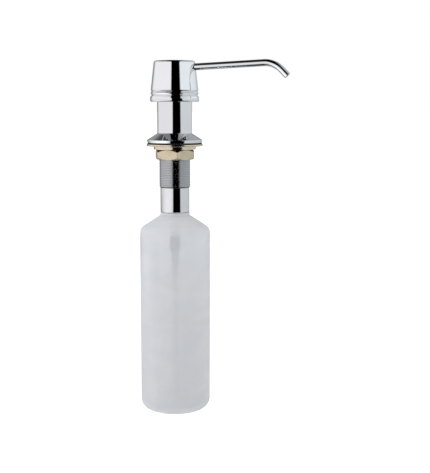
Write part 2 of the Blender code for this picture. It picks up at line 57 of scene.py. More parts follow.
class Nodes:
    """Short names for building one node tree."""

    def __init__(self, tree):
        self.tree = tree
        self.made = tree.nodes

    def add(self, kind, **values):
        node = self.made.new(kind)
        for key, value in values.items():
            setattr(node, key, value)
        return node

    def link(self, out, into):
        self.tree.links.new(out, into)

    def put(self, socket, value):
        if isinstance(value, bpy.types.NodeSocket):
            self.link(value, socket)
        else:
            socket.default_value = value

    def math(self, operation, a, b=None, c=None, clamp=False):
        node = self.add("ShaderNodeMath", operation=operation, use_clamp=clamp)
        for socket, value in zip(node.inputs, (a, b, c)):
            if value is not None:
                self.put(socket, value)
        return node.outputs[0]

    def vmath(self, operation, a, b=None):
        node = self.add("ShaderNodeVectorMath", operation=operation)
        self.put(node.inputs[0], a)
        if b is not None:
            self.put(node.inputs[1], b)
        return node.outputs["Value" if operation in ("DOT_PRODUCT", "LENGTH") else "Vector"]

    def remap(self, value, low, high, to_low=0.0, to_high=1.0, smooth=False):
        node = self.add("ShaderNodeMapRange", clamp=True)
        node.interpolation_type = "SMOOTHSTEP" if smooth else "LINEAR"
        for socket, v in zip(node.inputs, (value, low, high, to_low, to_high)):
            self.put(socket, v)
        return node.outputs[0]

    def mix(self, factor, a, b, blend="MIX"):
        node = self.add("ShaderNodeMix", data_type="RGBA", blend_type=blend)
        self.put(node.inputs[0], factor)
        for socket, value in ((node.inputs[6], a), (node.inputs[7], b)):
            if isinstance(value, (int, float)):
                value = (value, value, value, 1.0)
            elif isinstance(value, (tuple, list)) and len(value) == 3:
                value = (*value, 1.0)
            self.put(socket, value)
        return node.outputs[2]

    def noise(self, vector, scale, detail=2.0, rough=0.5, distort=0.0):
        node = self.add("ShaderNodeTexNoise")
        self.link(vector, node.inputs["Vector"])
        node.inputs["Scale"].default_value = scale
        node.inputs["Detail"].default_value = detail
        node.inputs["Roughness"].default_value = rough
        node.inputs["Distortion"].default_value = distort
        return node.outputs["Fac"]

    def stretched(self, vector, factors):
        node = self.add("ShaderNodeMapping")
        self.link(vector, node.inputs["Vector"])
        node.inputs["Scale"].default_value = factors
        return node.outputs["Vector"]

    def bump(self, height, strength, distance, normal=None):
        node = self.add("ShaderNodeBump")
        self.put(node.inputs["Height"], height)
        node.inputs["Strength"].default_value = strength
        node.inputs["Distance"].default_value = distance
        if normal is not None:
            self.link(normal, node.inputs["Normal"])
        return node.outputs["Normal"]

    def ramp(self, value, stops):
        node = self.add("ShaderNodeValToRGB")
        ramp = node.color_ramp
        while len(ramp.elements) < len(stops):
            ramp.elements.new(0.5)
        for element, (at, colour) in zip(ramp.elements, stops):
            element.position = at
        for element, (at, colour) in zip(ramp.elements, stops):
            if isinstance(colour, (int, float)):
                colour = (colour, colour, colour)
            element.color = (*colour, 1.0)
        self.put(node.inputs[0], value)
        return node.outputs[0]


def new_material(name):
    """(Nodes, shader, object coordinates) of a fresh Principled material."""
    mat = bpy.data.materials.new(name)
    mat.use_nodes = True
    n = Nodes(mat.node_tree)
    shader = n.made["Principled BSDF"]
    where = n.add("ShaderNodeTexCoord").outputs["Object"]
    return mat, n, shader, where


def polar(n, where):
    """(radius, turn fraction, z) of a point about the part's axis, from object coordinates."""
    split = n.add("ShaderNodeSeparateXYZ")
    n.link(where, split.inputs[0])
    x, y, z = split.outputs
    radius = n.math("SQRT", n.math("ADD", n.math("MULTIPLY", x, x), n.math("MULTIPLY", y, y)))
    turn = n.math("DIVIDE", n.math("ARCTAN2", y, x), TAU)
    return radius, turn, z


# =============================================================================
# Materials
# =============================================================================


def chrome(name, tint=(0.93, 0.935, 0.945), rough=(0.025, 0.06), peel=0.012):
    """Polished nickel-chrome plate: a faint orange peel from the plating, hazy wiped
    patches and hairline turning marks, all weak enough to keep mirror-like edges."""
    mat, n, shader, where = new_material(name)
    haze = n.noise(where, 38.0, 4.0, 0.6)
    smear = n.noise(n.stretched(where, (1.0, 1.0, 0.35)), 130.0, 3.0, 0.55, 0.6)
    both = n.math("MULTIPLY", haze, smear)
    n.link(n.remap(both, 0.14, 0.42, rough[0], rough[1]), shader.inputs["Roughness"])
    dark = tuple(c * 0.955 for c in tint)
    n.link(n.mix(n.remap(haze, 0.35, 0.7), dark, tint), shader.inputs["Base Color"])
    shader.inputs["Metallic"].default_value = 1.0
    turning = n.noise(n.stretched(where, (1.0, 1.0, 12.0)), 120.0, 1.0, 0.4)
    peel_height = n.noise(where, 220.0, 1.0, 0.4)
    normal = n.bump(turning, peel * 0.5, 0.0001)
    normal = n.bump(peel_height, peel, 0.0003, normal)
    n.link(normal, shader.inputs["Normal"])
    return mat


def thread_chrome(name):
    """Dull plate on the shank: lighter crests, a thin plated film and darker roots."""
    mat, n, shader, where = new_material(name)
    radius, turn, z = polar(n, where)
    crest = n.remap(radius, 0.01362, 0.01418, smooth=True)
    in_thread = n.remap(z, -0.0388, -0.0383)
    patch = n.noise(where, 210.0, 4.0, 0.6)
    root_colour = n.mix(n.remap(patch, 0.3, 0.7), (0.47, 0.475, 0.49), (0.53, 0.535, 0.55))
    thread_colour = n.mix(crest, root_colour, (0.575, 0.578, 0.59))
    plain = n.mix(n.remap(patch, 0.3, 0.7), (0.87, 0.875, 0.89), (0.93, 0.935, 0.945))
    # Painted shade: the undercut below the thread is coloured near black, for the shade that lies in it.
    undercut_shade = n.math("MULTIPLY", n.remap(z, -0.03902, -0.03894), n.remap(z, -0.03846, -0.03838, 1.0, 0.0))
    surface = n.mix(in_thread, plain, thread_colour)
    n.link(n.mix(n.math("MULTIPLY", undercut_shade, 0.9), surface, (0.05, 0.05, 0.052)), shader.inputs["Base Color"])
    shader.inputs["Metallic"].default_value = 1.0
    rough = n.math("ADD", n.math("MULTIPLY", in_thread, n.remap(crest, 0.0, 1.0, 0.04, 0.03)), n.remap(patch, 0.3, 0.7, 0.03, 0.05))
    n.link(n.math("ADD", rough, n.math("MULTIPLY", undercut_shade, 0.35)), shader.inputs["Roughness"])
    fine = n.noise(n.stretched(where, (1.0, 1.0, 9.0)), 700.0, 2.0, 0.5)
    n.link(n.bump(fine, 0.015, 0.0001), shader.inputs["Normal"])
    return mat


def brass(name, light=(0.90, 0.80, 0.635), dark=(0.82, 0.705, 0.515), rough=(0.11, 0.16), cast=0.06, rings=0.04, chamfer=False, under=None):
    """Bare hot-pressed brass: pale, slightly mottled, with fine machining rings."""
    mat, n, shader, where = new_material(name)
    radius, turn, z = polar(n, where)
    cloud = n.noise(where, 120.0, 5.0, 0.62, 0.4)
    speck = n.noise(where, 1500.0, 2.0, 0.5)
    colour = n.mix(n.remap(cloud, 0.32, 0.68), dark, light)
    colour = n.mix(n.remap(speck, 0.60, 0.78, 0.0, 0.35), colour, (0.55, 0.44, 0.28))
    shader.inputs["Metallic"].default_value = 1.0
    n.link(n.remap(cloud, 0.3, 0.7, rough[1], rough[0]), shader.inputs["Roughness"])
    if chamfer:
        # Height above the turned cone that trims the nut's corners, from its top face.
        cone = n.math("ADD", n.math("ADD", z, 0.0050), n.math("MULTIPLY", n.math("SUBTRACT", radius, 0.01648), 0.8391))
        turned = n.remap(cone, -0.0003, -0.00015)
        flats = n.remap(cloud, 0.3, 0.7, 0.44, 0.36)
        blend = n.add("ShaderNodeMix", data_type="FLOAT")
        for socket, value in zip((blend.inputs[0], blend.inputs[2], blend.inputs[3]), (turned, flats, 0.12)):
            n.put(socket, value)
        n.link(blend.outputs[0], shader.inputs["Roughness"])
        # Painted shade: the turned chamfers are coloured about half as bright, for the shade they lie in under the
        # washer, and the drawn flats are duller.
        colour = n.mix(1.0, colour, n.mix(turned, (0.93, 0.91, 0.88), (0.50, 0.42, 0.34)), "MULTIPLY")
    if under is not None:
        # Painted shade: below this height the underside is coloured dark brown, for the shade in the gap over the nut,
        # which the nut's chamfer reflects.
        colour = n.mix(n.remap(z, under, under + 0.0001), (0.16, 0.12, 0.08), colour)
    n.link(colour, shader.inputs["Base Color"])
    wave = n.math("SINE", n.math("MULTIPLY", radius, TAU / 0.00035))
    normal = n.bump(wave, rings, 0.00002)
    normal = n.bump(speck, cast, 0.0002, normal)
    n.link(normal, shader.inputs["Normal"])
    return mat


def rubber(name, colour=(0.016, 0.016, 0.017)):
    """Black nitrile: matte, with moulding grain and a bloom of grey dust."""
    mat, n, shader, where = new_material(name)
    grain = n.noise(where, 2600.0, 3.0, 0.6)
    dust = n.noise(where, 160.0, 4.0, 0.65)
    n.link(
        n.mix(n.remap(dust, 0.5, 0.8, 0.0, 0.5), colour, (0.05, 0.05, 0.052)),
        shader.inputs["Base Color"],
    )
    n.link(n.remap(dust, 0.3, 0.7, 0.52, 0.72), shader.inputs["Roughness"])
    shader.inputs["Specular IOR Level"].default_value = 0.4
    n.link(n.bump(grain, 0.18, 0.0001), shader.inputs["Normal"])
    return mat


def polyethylene(name):
    """Blow-moulded natural polyethylene: milky, with slow swirls where the parison
    stretched unevenly, a satin skin and a faint vertical die drag."""
    mat, n, shader, where = new_material(name)
    swirl = n.noise(n.stretched(where, (1.0, 1.0, 2.0)), 11.0, 3.0, 0.5, 2.2)
    band = n.noise(n.stretched(where, (1.0, 1.0, 0.2)), 46.0, 3.0, 0.55, 0.5)
    drag = n.noise(n.stretched(where, (1.0, 1.0, 0.03)), 900.0, 2.0, 0.5)
    pebble = n.noise(where, 1400.0, 3.0, 0.55)
    cloud = n.math("ADD", n.math("MULTIPLY", swirl, 0.62), n.math("MULTIPLY", band, 0.38))
    colour = n.mix(n.remap(cloud, 0.36, 0.66, smooth=True), (0.67, 0.684, 0.706), (0.727, 0.729, 0.739))
    # The wall is thickest in the neck and shoulder and thinnest just under them, which sets how much light passes
    # through it.
    split = n.add("ShaderNodeSeparateXYZ")
    n.link(where, split.inputs[0])
    level = n.remap(split.outputs[2], -0.24, -0.06)
    thin = n.ramp(level, [(0.0, 0.36), (0.60, 0.40), (0.76, 0.60), (0.885, 0.60), (0.93, 0.28), (1.0, 0.25)])
    n.link(thin, shader.inputs["Transmission Weight"])
    # Painted light and shade by height: the colour is lighter on the body just under the shoulder and a little darker
    # at the bottom and round the neck.
    dense = n.ramp(level, [(0.0, 0.95), (0.5, 1.0), (0.60, 1.03), (0.74, 1.15), (0.885, 1.15), (0.93, 1.0), (0.955, 1.0), (0.975, 0.95), (1.0, 0.98)])
    n.link(n.mix(1.0, colour, dense, "MULTIPLY"), shader.inputs["Base Color"])
    n.link(n.remap(cloud, 0.3, 0.7, 0.28, 0.36), shader.inputs["Roughness"])
    shader.inputs["IOR"].default_value = 1.1
    shader.inputs["Specular IOR Level"].default_value = 0.9
    shader.inputs["Subsurface Weight"].default_value = 0.3
    shader.inputs["Subsurface Radius"].default_value = (1.0, 1.0, 1.0)
    shader.inputs["Subsurface Scale"].default_value = 0.005
    normal = n.bump(cloud, 0.22, 0.0012)
    normal = n.bump(drag, 0.05, 0.0001, normal)
    normal = n.bump(pebble, 0.05, 0.0001, normal)
    n.link(normal, shader.inputs["Normal"])
    return mat


def moulded(name, colour=(0.80, 0.81, 0.815), rough=(0.30, 0.42), clear=0.0):
    """Injection-moulded polypropylene or polyethylene, lightly spark-eroded."""
    mat, n, shader, where = new_material(name)
    flow = n.noise(where, 70.0, 3.0, 0.5, 0.8)
    grain = n.noise(where, 2200.0, 2.0, 0.5)
    darker = tuple(c * 0.93 for c in colour)
    n.link(n.mix(n.remap(flow, 0.35, 0.65), darker, colour), shader.inputs["Base Color"])
    n.link(n.remap(flow, 0.3, 0.7, rough[0], rough[1]), shader.inputs["Roughness"])
    shader.inputs["IOR"].default_value = 1.49
    shader.inputs["Transmission Weight"].default_value = clear
    shader.inputs["Subsurface Weight"].default_value = 0.15
    shader.inputs["Subsurface Scale"].default_value = 0.003
    n.link(n.bump(grain, 0.08, 0.0001), shader.inputs["Normal"])
    return mat


def drawn_steel(name):
    """Drawn stainless wire and ground balls: draw lines and a light haze."""
    mat, n, shader, where = new_material(name)
    lines = n.noise(n.stretched(where, (1.0, 1.0, 6.0)), 1200.0, 2.0, 0.5)
    haze = n.noise(where, 300.0, 3.0, 0.6)
    n.link(n.mix(n.remap(haze, 0.3, 0.7), (0.55, 0.55, 0.55), (0.68, 0.68, 0.67)), shader.inputs["Base Color"])
    shader.inputs["Metallic"].default_value = 1.0
    n.link(n.remap(haze, 0.3, 0.7, 0.16, 0.3), shader.inputs["Roughness"])
    n.link(n.bump(lines, 0.06, 0.0001), shader.inputs["Normal"])
    return mat


# =============================================================================
# Mesh helpers. Profiles are (radius, z) in millimetres.
# =============================================================================


def rounded(points, radius=0.3, closed=True, step=12.0, support=0.12):
    """The profile with every corner rounded. A point is (r, z) or (r, z, its own
    radius); 0 leaves it sharp. Long runs get a support point next to each corner, so
    that smooth shading stays true along them."""
    count = len(points)
    given = [(p[0], p[1], p[2] if len(p) > 2 else radius) for p in points]
    out = []
    for i, (r, z, fillet) in enumerate(given):
        here = Vector((r, z))
        if not closed and i in (0, count - 1):
            out.append(here)
            continue
        before = Vector(given[i - 1][:2]) - here
        after = Vector(given[(i + 1) % count][:2]) - here
        angle = before.angle(after, math.pi)
        if fillet <= 0 or angle > math.radians(179.5) or angle < math.radians(1):
            out.append(here)
            continue
        reach = min(fillet / math.tan(angle / 2), 0.46 * before.length, 0.46 * after.length)
        size = reach * math.tan(angle / 2)
        a, b = here + before.normalized() * reach, here + after.normalized() * reach
        bisector = (before.normalized() + after.normalized()).normalized()
        centre = here + bisector * math.hypot(reach, size)
        sweep = math.pi - angle
        steps = max(2, math.ceil(math.degrees(sweep) / step))
        spoke_a, spoke_b = a - centre, b - centre
        start = math.atan2(spoke_a.y, spoke_a.x)
        turn = math.atan2(
            spoke_a.x * spoke_b.y - spoke_a.y * spoke_b.x, spoke_a.dot(spoke_b)
        )
        for k in range(steps + 1):
            at = start + turn * k / steps
            out.append(centre + Vector((math.cos(at), math.sin(at))) * spoke_a.length)
    dense = []
    total = len(out)
    for i, p in enumerate(out):
        dense.append(p)
        if not closed and i == total - 1:
            break
        q = out[(i + 1) % total]
        run = q - p
        if run.length > 4 * support:
            dense.append(p + run.normalized() * support)
            dense.append(q - run.normalized() * support)
    kept = [dense[0]]
    for p in dense[1:]:
        if (p - kept[-1]).length > 1e-4:
            kept.append(p)
    if closed and (kept[0] - kept[-1]).length < 1e-4:
        kept.pop()
    return [(p.x, p.y) for p in kept]


def lathe_bmesh(profile, segments, closed=True):
    """A turned solid as a bmesh in metres. closed=False runs from the axis to the axis."""
    bm = bmesh.new()
    rings = []
    for r, z in profile:
        if r < 1e-6:
            rings.append([bm.verts.new((0, 0, z * MM))] * segments)
        else:
            rings.append(
                [
                    bm.verts.new(
                        (
                            r * math.cos(TAU * s / segments) * MM,
                            r * math.sin(TAU * s / segments) * MM,
                            z * MM,
                        )
                    )
                    for s in range(segments)
                ]
            )
    pairs = list(zip(rings[:-1], rings[1:]))
    if closed:
        pairs.append((rings[-1], rings[0]))
    for a, b in pairs:
        for s in range(segments):
            t = (s + 1) % segments
            corners = []
            for v in (a[s], a[t], b[t], b[s]):
                if v not in corners:
                    corners.append(v)
            if len(corners) > 2:
                bm.faces.new(corners)
    return bm


def make(name, bm, mat, body, node, sharp=32.0):
    """The finished piece: it stands for the CAD node and rides on its body."""
    bmesh.ops.recalc_face_normals(bm, faces=bm.faces)
    mesh = bpy.data.meshes.new(name)
    bm.to_mesh(mesh)
    bm.free()
    obj = bpy.data.objects.new(name, mesh)
    bpy.context.scene.collection.objects.link(obj)
    mesh.materials.append(mat)
    mesh.shade_smooth()
    mesh.set_sharp_from_angle(angle=math.radians(sharp))
    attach(obj, body)
    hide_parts(node)
    return obj


def helper(name, bm):
    bmesh.ops.recalc_face_normals(bm, faces=bm.faces)
    mesh = bpy.data.meshes.new(name)
    bm.to_mesh(mesh)
    bm.free()
    obj = bpy.data.objects.new(name, mesh)
    bpy.context.scene.collection.objects.link(obj)
    return obj


def carve(bm, tools):
    """bm with each tool's volume taken away, by exact Booleans applied at once."""
    target = helper("carved", bm)
    made = []
    for i, tool in enumerate(tools):
        cutter = helper("tool%d" % i, tool)
        made.append(cutter)
        modifier = target.modifiers.new("cut%d" % i, "BOOLEAN")
        modifier.operation = "DIFFERENCE"
        modifier.solver = "EXACT"
        modifier.object = cutter
    graph = bpy.context.evaluated_depsgraph_get()
    result = bmesh.new()
    evaluated = target.evaluated_get(graph)
    result.from_mesh(evaluated.to_mesh())
    evaluated.to_mesh_clear()
    for obj in [target, *made]:
        mesh = obj.data
        bpy.data.objects.remove(obj, do_unlink=True)
        bpy.data.meshes.remove(mesh)
    return result


def rod(start, direction, length, radius, segments=48):
    bm = bmesh.new()
    made = bmesh.ops.create_cone(
        bm, cap_ends=True, segments=segments, radius1=radius * MM, radius2=radius * MM, depth=length * MM
    )
    direction = Vector(direction).normalized()
    turn = direction.to_track_quat("Z", "X").to_matrix().to_4x4()
    shift = Matrix.Translation((Vector(start) + direction * length / 2) * MM)
    bmesh.ops.transform(bm, matrix=shift @ turn, verts=made["verts"])
    return bm


def block(low, high):
    bm = bmesh.new()
    made = bmesh.ops.create_cube(bm, size=1.0)
    bmesh.ops.scale(bm, vec=Vector([(b - a) * MM for a, b in zip(low, high)]), verts=made["verts"])
    bmesh.ops.translate(bm, vec=Vector([(a + b) / 2 * MM for a, b in zip(low, high)]), verts=made["verts"])
    return bm


def arc(cr, cz, radius, start, stop, steps):
    return [
        (
            cr + radius * math.cos(math.radians(start + (stop - start) * i / steps)),
            cz + radius * math.sin(math.radians(start + (stop - start) * i / steps)),
        )
        for i in range(steps + 1)
    ]


def sweep(path, outer, inner, sides):
    """A round tube with a wall along (point, direction) pairs in the XZ plane. The
    last wall edge is broken a little, as a cut and tumbled tube's is."""
    bm = bmesh.new()
    side = Vector((0, 1, 0))

    def ring(centre, direction, radius):
        up = direction.cross(side).normalized()
        return [
            bm.verts.new(
                (
                    centre
                    + side * radius * math.cos(TAU * s / sides)
                    + up * radius * math.sin(TAU * s / sides)
                )
                * MM
            )
            for s in range(sides)
        ]

    edge = 0.22
    stations = []
    for centre, direction in path[:-1]:
        stations.append((centre, direction, outer))
    end, direction = path[-1]
    wall = outer - inner
    for i in range(6):
        a = math.pi / 2 * i / 5
        stations.append(
            (end - direction * edge * (1 - math.sin(a)), direction, outer - edge * (1 - math.cos(a)))
        )
    for i in range(4):
        a = math.pi / 2 * i / 3
        stations.append(
            (end - direction * 0.15 * (1 - math.cos(a)), direction, inner + 0.15 * (1 - math.sin(a)))
        )
    for centre, direction in reversed(path[:-1]):
        stations.append((centre, direction, inner))
    rings = [ring(*station) for station in stations]
    for a, b in zip(rings, rings[1:] + rings[:1]):
        for s in range(sides):
            t = (s + 1) % sides
            bm.faces.new([a[s], a[t], b[t], b[s]])
    return bm


# =============================================================================
# Fixed pieces: sleeve, shank, gasket
# =============================================================================

SEG = 160

sleeve = rounded(
    [
        (12.6, 40.0, 0.6),
        (15.65, 40.0, 0.5),
        (15.65, 9.6, 0.7),
        (25.08, 3.62, 0.6),
        (24.45, 1.25, 0.4),
        (23.7, 0.6, 0.2),
        (13.3, 0.6, 0.3),
        (13.3, 14.0, 0.2),
        (12.6, 14.0, 0.2),
    ]
)
make("sleeve_and_flange", lathe_bmesh(sleeve, SEG), chrome("plated_sleeve"), "mount", "sleeve_flange")

gasket = rounded([(14.3, 0.0), (14.3, 0.55), (24.7, 0.55, 0.2), (24.7, 0.0, 0.2)], 0.2)
make("deck_gasket", lathe_bmesh(gasket, SEG), rubber("nitrile_gasket"), "mount", "flange_gasket")


def shank():
    """The shank with a right-hand M28 x 1.5 thread. Rows of points climb one pitch in
    a turn, so each seam joins a point to the one a whole pitch further down. A cone
    at each end of the thread trims its crests, as a chamfering tool does."""
    columns, pitch, top, low = 128, 1.5, 0.5, -38.4
    crest, root = 14.2, 13.6
    lap = [
        (0.02, crest),
        (0.32, crest),
        (0.36, crest - 0.05),
        (0.48, root + 0.05),
        (0.52, root),
        (0.82, root),
        (0.86, root + 0.05),
        (0.98, crest - 0.05),
    ]
    per = len(lap)
    laps = math.ceil((top - low) / pitch) + 3
    count = per * laps
    shell = rounded(
        [
            (12.2, -60.5, 0.15),
            (12.2, -46.0, 0.1),
            (11.3, -46.0, 0.2),
            (11.3, 13.2, 0.2),
            (11.8, 13.7, 0.15),
            (13.0, 13.7, 0.3),
            (13.0, 0.75, 0.0),
            (13.0, 0.6, 0.0),
            (12.8, -38.4, 0.0),
            (12.8, -38.5, 0.0),
            (13.2, -38.95, 0.0),
            (13.2, -60.6, 0.3),
            (12.8, -61.0, 0.2),
            (12.5, -61.0, 0.1),
        ],
        0.1,
    )
    cut = next(i for i, p in enumerate(shell) if abs(p[1] - 0.6) < 1e-6)
    ordered = shell[cut + 1 :] + shell[: cut + 1]
    ordered = [p for p in ordered if not (p[0] > 12.7 and -38.39 < p[1] < 0.55)]
    bm = bmesh.new()
    plain, helix, first, last = [], [], [], []
    for j in range(columns):
        turn = j / columns
        c, s = math.cos(TAU * turn), math.sin(TAU * turn)

        def point(r, z):
            return bm.verts.new((r * c * MM, r * s * MM, z * MM))

        plain.append([point(r, z) for r, z in ordered])
        first.append(point(root - 0.08, top))
        last.append(point(root - 0.08, low))
        row = []
        for k in range(count):
            fraction, radius = lap[k % per]
            z = top + pitch * (1.5 + turn - (k // per) - fraction)
            if z > top - 0.02:
                row.append(first[-1])
            elif z < low + 0.02:
                row.append(last[-1])
            else:
                limit = min(root - 0.08 + (top - z) * 1.2, root - 0.08 + (z - low) * 4.0)
                row.append(point(min(radius, limit), z))
        helix.append(row)

    def face(corners):
        loop = []
        for v in corners:
            if v not in loop:
                loop.append(v)
        if len(loop) > 2:
            bm.faces.new(loop)

    for j in range(columns):
        n = (j + 1) % columns
        shift = per if n == 0 else 0

        def over(k):
            k -= shift
            return first[n] if k < 0 else helix[n][k]

        for k in range(count - 1):
            face([helix[j][k], helix[j][k + 1], over(k + 1), over(k)])
        face([helix[j][count - 1], last[j], last[n], over(count - 1)])
        here, there = plain[j], plain[n]
        for i in range(len(here) - 1):
            face([here[i], here[i + 1], there[i + 1], there[i]])
        face([here[-1], first[j], first[n], there[-1]])
        face([last[j], here[0], there[0], last[n]])
    return bm


make("shank_body", shank(), thread_chrome("plated_shank"), "mount", "threaded_shank", 40.0)


# =============================================================================
# Clamping hardware
# =============================================================================

washer = rounded([(14.3, -2.0, 0.2), (14.3, -0.12, 0.2), (25.3, -0.12, 0.2), (25.3, -1.5, 0.25), (24.6, -2.0, 0.25)], 0.2)
make("large_washer", lathe_bmesh(washer, SEG), brass("stamped_brass", rings=0.05), "clamp_stack", "clamp_washer")

thrust = rounded([(14.3, -4.9, 0.2), (14.3, -2.1, 0.2), (19.0, -2.1, 0.2), (19.0, -4.9, 0.3)], 0.2)
make("small_washer", lathe_bmesh(thrust, SEG), brass("turned_brass", rings=0.05, under=-0.00488), "clamp_stack", "thrust_washer")


def hexagon():
    """The nut column by column: bore, face, turned chamfer cone, flat, chamfer, face.
    Corners of the hexagon are rounded, with columns packed close round each one."""
    half, fillet, turn0 = 16.5, 0.4, math.radians(-9.2)
    top, low = -5.0, -13.8
    fall = math.tan(math.radians(40))
    ring_r = half - 0.02
    centre = (half - fillet) / math.cos(math.pi / 6)
    reach = math.atan2(fillet * math.sin(math.pi / 6), centre + fillet * math.cos(math.pi / 6))

    def outline(delta):
        """Radius at an angle delta from the nearest corner."""
        d = abs(delta)
        if d <= reach:
            return centre * math.cos(d) + math.sqrt(max(0.0, fillet**2 - (centre * math.sin(d)) ** 2))
        return half / math.cos(math.pi / 6 - d)

    deltas = [reach * (k / 8) for k in range(-8, 9)]
    flat_run = math.pi / 3 - 2 * reach
    deltas += [reach + flat_run * k / 12 for k in range(1, 12)]
    angles = []
    for corner in range(6):
        for d in deltas:
            near = d if d <= math.pi / 6 else d - math.pi / 3
            angles.append((turn0 + corner * math.pi / 3 + d, outline(near)))
    bm = bmesh.new()
    columns = []
    for angle, r_out in angles:
        c, s = math.cos(angle), math.sin(angle)
        drop = max(0.0, (r_out - ring_r) * fall)
        # A slightly rounded lip where the chamfer meets the side.
        lip = 0.06
        pts = [(14.3, low + 0.5), (14.3, top - 0.5), (14.8, top)]
        pts += [(15.3, top), (ring_r - 0.1, top), (ring_r, top - 0.01)]
        pts += [(r_out - lip, top - max(0.0, drop - lip * fall)), (r_out - lip * 0.3, top - drop - lip * 0.15), (r_out, top - drop - lip)]
        pts += [(r_out, top - drop - lip - 0.1), (r_out, low + drop + lip + 0.1)]
        pts += [(r_out, low + drop + lip), (r_out - lip * 0.3, low + drop + lip * 0.15), (r_out - lip, low + max(0.0, drop - lip * fall))]
        pts += [(ring_r, low + 0.01), (ring_r - 0.1, low), (15.3, low), (14.8, low)]
        columns.append([bm.verts.new((r * c * MM, r * s * MM, z * MM)) for r, z in pts])
    for a, b in zip(columns, columns[1:] + columns[:1]):
        for i in range(len(a)):
            k = (i + 1) % len(a)
            bm.faces.new([a[i], a[k], b[k], b[i]])
    return bm


make("hexagon_nut", hexagon(), brass("pressed_brass", cast=0.10, rings=0.0, chamfer=True), "nut", "hex_nut", 25.0)


# =============================================================================
# Bottle
# =============================================================================


def bottle():
    """A blown bottle with a wall, a shallow push-up in the base, and the fine groove
    that the two mould halves leave down its sides."""
    slope = math.radians(33.4)

    def half(radius, neck, start, heel, base, push, steps):
        tangent = 7.2 * math.tan((math.pi / 2 - slope) / 2)
        corner = start - (radius - neck) * math.tan(slope)
        points = [(neck, start)]
        first = (radius - 7.2 + 7.2 * math.sin(slope), corner - tangent + 7.2 * math.cos(slope))
        for k in range(1, 10):
            t = k / 10
            points.append((neck + (first[0] - neck) * t, start + (first[1] - start) * t))
        points += arc(radius - 7.2, corner - tangent, 7.2, 90 - math.degrees(slope), 0, steps)
        high, floor = corner - tangent, base + heel
        for k in range(1, 40):
            t = k / 40
            points.append((radius - 0.2 * t, high + (floor - high) * t))
        points += arc(radius - 0.2 - heel, base + heel, heel, 0, -90, steps + 6)
        rim = radius - 0.2 - heel
        for k in range(1, 13):
            t = k / 13
            blend = 0.5 - 0.5 * math.cos(math.pi * min(1.0, t * 1.25))
            points.append((rim * (1 - t), base + push * blend))
        points.append((0.0, base + push))
        return points

    outer = half(31.8, 13.42, -63.75, 9.5, -242.8, 3.0, 12)
    inner_start = -63.6 - 1.2 / math.cos(slope) + (13.5 - 9.6) * math.tan(slope)
    inner = half(30.6, 9.6, inner_start, 8.3, -241.6, 3.0, 8)
    neck = rounded(
        [
            (9.6, inner_start + 0.4, 0.0),
            (9.6, -48.0, 0.25),
            (11.9, -48.0, 0.35),
            (11.9, -61.3, 0.2),
            (13.42, -61.3, 0.3),
            (13.42, -63.3, 0.0),
        ],
        0.2,
        closed=False,
    )
    profile = list(reversed(inner)) + neck + outer
    segments = 192
    bm = lathe_bmesh(profile, segments, closed=False)
    seam = math.radians(12.0)
    for v in bm.verts:
        r = math.hypot(v.co.x, v.co.y)
        outside = v.co.z < -0.0640 and r > 1e-6 and (r > 0.0312 or v.co.z < -0.2419)
        if not outside:
            continue
        angle = math.atan2(v.co.y, v.co.x) - seam
        across = abs(math.sin(angle)) * r
        lift = max(0.0, 1.0 - across / 0.0006) * 0.00012
        if lift and v.co.z > -0.2330:
            k = (r - lift * 0.6) / r
            v.co.x *= k
            v.co.y *= k
    return bm


make("blown_bottle", bottle(), polyethylene("milky_polyethylene"), "reservoir", "bottle")

seal = rounded([(9.8, -47.7), (9.8, -46.3), (11.9, -46.3), (11.9, -47.7)], 0.25)
make("neck_gasket", lathe_bmesh(seal, 96), rubber("nitrile_neck"), "neck_ring", "neck_seal")


# =============================================================================
# Pump insert
# =============================================================================

collar = rounded(
    [
        (8.3, 30.0, 0.2),
        (8.3, 40.9, 0.1),
        (10.4, 40.9, 0.2),
        (10.4, 42.6, 0.25),
        (15.0, 42.6, 0.5),
        (15.0, 40.3, 0.3),
        (12.1, 40.3, 0.2),
        (12.1, 35.9, 0.2),
        (10.6, 35.9, 0.2),
        (10.6, 33.9, 0.2),
        (12.1, 33.9, 0.2),
        (12.1, 30.0, 0.7),
    ]
)
white = moulded("white_polypropylene", (0.62, 0.63, 0.65))
make("insert_collar", lathe_bmesh(collar, 128), white, "pump_insert", "pump_collar")

ring = arc(11.62, 34.9, 0.7, 0, 345, 23)
make("insert_o_ring", lathe_bmesh(ring, 128), rubber("nitrile_o_ring"), "pump_insert", "collar_o_ring")

barrel = rounded(
    [
        (6.8, -12.0, 0.4),
        (6.8, 42.5, 0.2),
        (10.1, 42.5, 0.3),
        (10.1, 41.2, 0.2),
        (8.0, 41.2, 0.2),
        (8.0, -13.4, 1.2),
        (4.8, -17.0, 1.0),
        (4.8, -97.0, 0.35),
        (3.3, -97.0, 0.3),
        (3.3, -15.7, 0.1),
        (2.2, -15.7, 0.1),
        (2.2, -12.0, 0.4),
    ]
)
# Painted shade: the barrel is coloured dark grey, for the shade it lies in inside the bottle, so that it shows through
# the wall as a dim patch.
make("pump_cylinder", lathe_bmesh(barrel, 96), moulded("barrel_polypropylene", (0.30, 0.31, 0.32)), "pump_insert", "pump_barrel")

guide = rounded([(3.8, 34.0), (3.8, 42.4), (6.5, 42.4), (6.5, 34.0)], 0.3)
make("stem_bush", lathe_bmesh(guide, 72), moulded("bush_acetal", (0.84, 0.84, 0.83)), "pump_insert", "stem_guide")

cage = rounded(
    [(3.4, -11.7), (3.4, -4.3), (1.8, -4.3), (1.8, -3.3), (4.3, -3.3, 0.5), (4.3, -9.9, 0.3), (6.5, -9.9), (6.5, -11.7)],
    0.15,
)
cage_mesh = carve(
    lathe_bmesh(cage, 72),
    [block((-9, -1.2, -8.6), (9, 1.2, -4.8)), block((-1.2, -9, -8.6), (1.2, 9, -4.8))],
)
make("ball_cage", cage_mesh, moulded("cage_polypropylene"), "pump_insert", "valve_cage")


